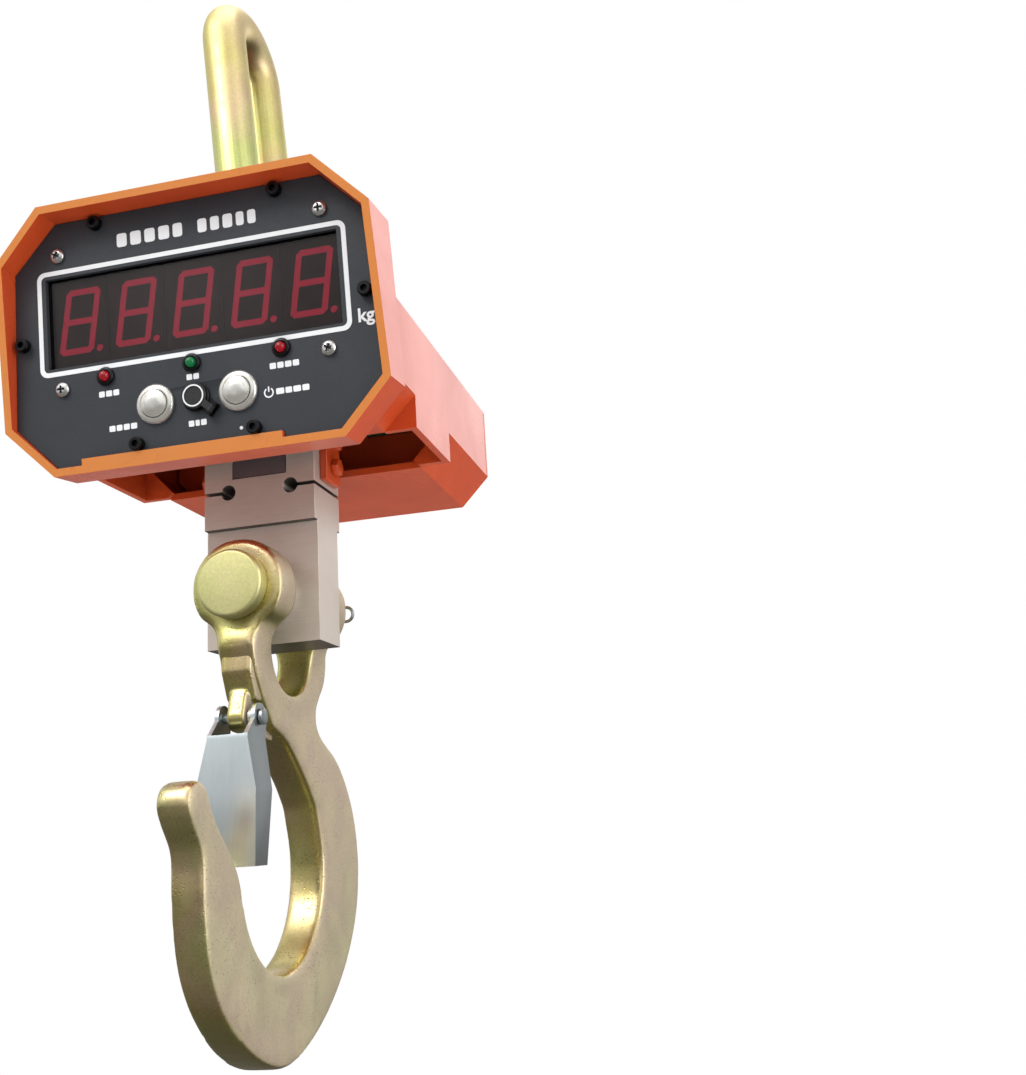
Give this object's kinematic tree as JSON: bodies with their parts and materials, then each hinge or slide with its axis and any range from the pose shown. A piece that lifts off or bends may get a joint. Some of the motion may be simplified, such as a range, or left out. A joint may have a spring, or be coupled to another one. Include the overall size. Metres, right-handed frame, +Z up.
{
  "type": "crane scale",
  "caption": "Hanging electronic scale with a bow shackle on top, an octagonal cased load cell, a tilted front display and a swivel clevis hook with a sprung latch below.",
  "frame": {"origin": "the point under the shackle's bow that rests on the crane's hook", "axes": "+Z up along the load line, -Y out of the display, +X to the right of a reader of the display"},
  "size_m": [0.207, 0.2404, 0.6167],
  "materials": {
    "zinc_gold": "yellow-passivated zinc with an iridescent sheen, over forged steel",
    "nickel": "nickel-plated, fine brushing",
    "orange_paint": "glossy enamel",
    "zinc_bright": "bright zinc plate",
    "stainless": "polished stainless steel",
    "black_steel": "black oxide",
    "white_zinc": "bright plated",
    "slate_panel": "satin slate grey film",
    "smoked_window": "smoked, slightly red acrylic",
    "display_module": "black face with red segments",
    "red_lens": "translucent red",
    "green_lens": "translucent green",
    "rubber": "matte",
    "circuit_board": "green solder mask",
    "battery_case": "shrink sleeve"
  },
  "bodies": {
    "shackle_set": {"shackle": "zinc_gold", "upper_pin": "zinc_gold", "upper_washer": "zinc_bright", "upper_split_pin": "zinc_bright"},
    "hook_set": {"hook": "zinc_gold", "lower_pin": "zinc_gold", "lower_washer": "zinc_bright", "lower_split_pin": "zinc_bright", "lower_spacer_front": "stainless", "lower_spacer_rear": "stainless", "latch_pin": "zinc_bright", "latch_spring": "stainless"},
    "safety_latch": {"latch": "zinc_bright"},
    "recall_button": {"recall_button_cap": "stainless"},
    "power_button": {"power_button_cap": "stainless"},
    "charge_cap": {"jack_cap": "rubber"},
    "scale_body": {"load_cell": "nickel", "gauge_cover_front": "stainless", "gauge_cover_rear": "stainless", "front_bezel": "orange_paint", "casing": "orange_paint", "rear_cover": "orange_paint", "slot_trim": "rubber", "front_panel": "slate_panel", "panel_screw_top_left": "black_steel", "panel_screw_top_right": "black_steel", "panel_screw_side_left": "black_steel", "panel_screw_side_right": "black_steel", "panel_screw_bottom_left": "black_steel", "panel_screw_bottom_right": "black_steel", "display_window": "smoked_window", "digit_1": "display_module", "digit_2": "display_module", "digit_3": "display_module", "digit_4": "display_module", "digit_5": "display_module", "display_board": "circuit_board", "display_screw_top_left": "white_zinc", "display_screw_top_right": "white_zinc", "display_screw_bottom_left": "white_zinc", "display_screw_bottom_right": "white_zinc", "led_holder_left": "black_steel", "led_holder_centre": "black_steel", "led_holder_right": "black_steel", "led_left": "red_lens", "led_centre": "green_lens", "led_right": "red_lens", "recall_button_body": "stainless", "power_button_body": "stainless", "charge_jack": "black_steel", "cell_cable": "rubber", "main_board": "circuit_board", "battery": "battery_case", "battery_strap": "stainless", "cell_bracket_left": "stainless", "cell_bracket_right": "stainless", "bracket_bolt_left_1": "black_steel", "bracket_bolt_left_2": "black_steel", "bracket_bolt_right_1": "black_steel", "bracket_bolt_right_2": "black_steel"}
  },
  "joints": [
    {"name": "shackle_hinge", "type": "hinge", "parent": "shackle_set", "child": "scale_body", "pos_m": [0.01753, 0, -0.19421], "axis": [0, 1, 0], "range_deg": [-20, 9.5]},
    {"name": "hook_hinge", "type": "hinge", "parent": "scale_body", "child": "hook_set", "pos_m": [0.01753, 0, -0.35471], "axis": [0, 1, 0], "range_deg": [-75, 75]},
    {"name": "latch_hinge", "type": "hinge", "parent": "hook_set", "child": "safety_latch", "pos_m": [0.01753, -0.042, -0.42221], "axis": [1, 0, 0], "range_deg": [0, 40], "stiffness_Nm_per_rad": 0.2, "springref_deg": -45.84},
    {"name": "recall_press", "type": "slide", "parent": "scale_body", "child": "recall_button", "axis": [0, 0.9927, 0.1207], "range_m": [0, 0.0015], "stiffness_N_per_m": 900, "springref_m": -0.001},
    {"name": "power_press", "type": "slide", "parent": "scale_body", "child": "power_button", "axis": [0, 0.9927, 0.1207], "range_m": [0, 0.0015], "stiffness_N_per_m": 900, "springref_m": -0.001},
    {"name": "charge_cap_hinge", "type": "hinge", "parent": "scale_body", "child": "charge_cap", "pos_m": [0.02752, -0.09328, -0.27551], "axis": [0.6401, -0.0927, 0.7627], "range_deg": [0, 120]}
  ]
}
